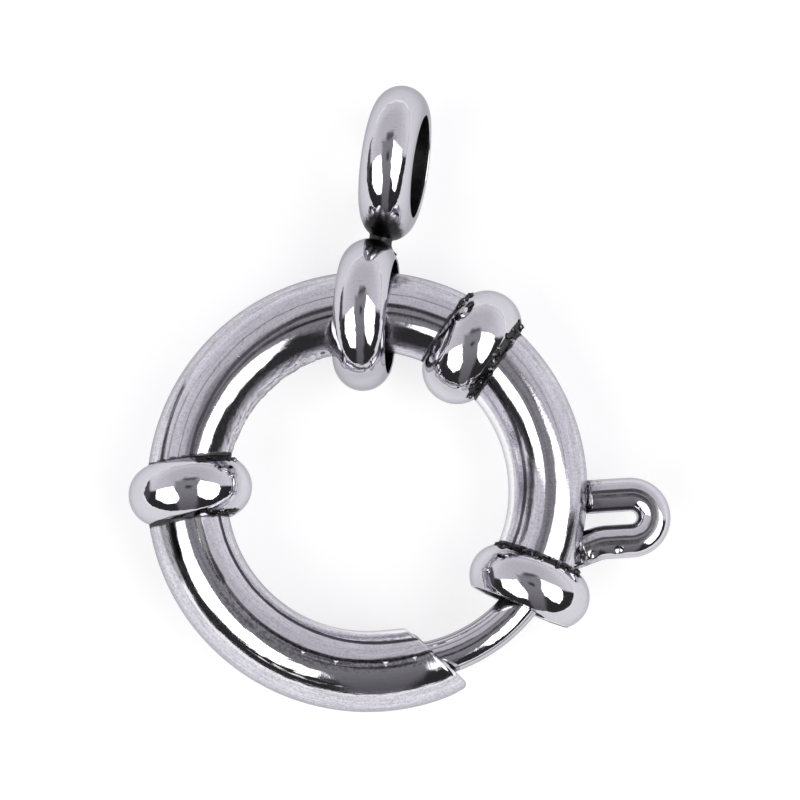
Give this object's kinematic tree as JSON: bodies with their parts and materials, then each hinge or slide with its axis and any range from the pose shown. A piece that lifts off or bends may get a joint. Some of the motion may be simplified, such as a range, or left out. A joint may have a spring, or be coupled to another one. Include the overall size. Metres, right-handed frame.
{
  "type": "spring ring clasp",
  "caption": "Spring ring clasp: curved tube with a sprung sliding bolt across its gate, collars, a bent-wire thumb trigger and a loose bail with a small ring.",
  "frame": {"origin": "centre of the main ring, on the plane of the tube's centre line", "axes": "+Z along the main ring's axis, up as it lies; +Y from the ring's centre towards the bail; +X towards the thumb trigger"},
  "size_m": [0.022, 0.0256, 0.0064],
  "materials": {
    "polished_steel": "mirror polished stainless steel with light handling scratches",
    "drawn_tube": "polished over fine drawn streaks that run along the tube, with small pits and dark crevices",
    "spring_wire": "bright drawn wire"
  },
  "bodies": {
    "ring": {"tube": "drawn_tube", "collar_rear": "polished_steel", "collar_upper": "polished_steel", "collar_mouth": "polished_steel", "spring_stop": "spring_wire", "spring": "spring_wire"},
    "bolt": {"bolt": "polished_steel", "trigger": "polished_steel"},
    "bail": {"bail": "polished_steel"}
  },
  "joints": [
    {"name": "bolt_slide", "type": "hinge", "parent": "ring", "child": "bolt", "pos_m": [0, 0, 0], "axis": [0, 0, 1], "range_deg": [0, 38], "stiffness_Nm_per_rad": 0.03, "deforming": ["spring"]},
    {"name": "bail_swing", "type": "hinge", "parent": "ring", "child": "bail", "pos_m": [-0.00006, 0.00715, 0.0005], "axis": [0.9914, -0.0832, 0.1011], "continuous": true}
  ]
}
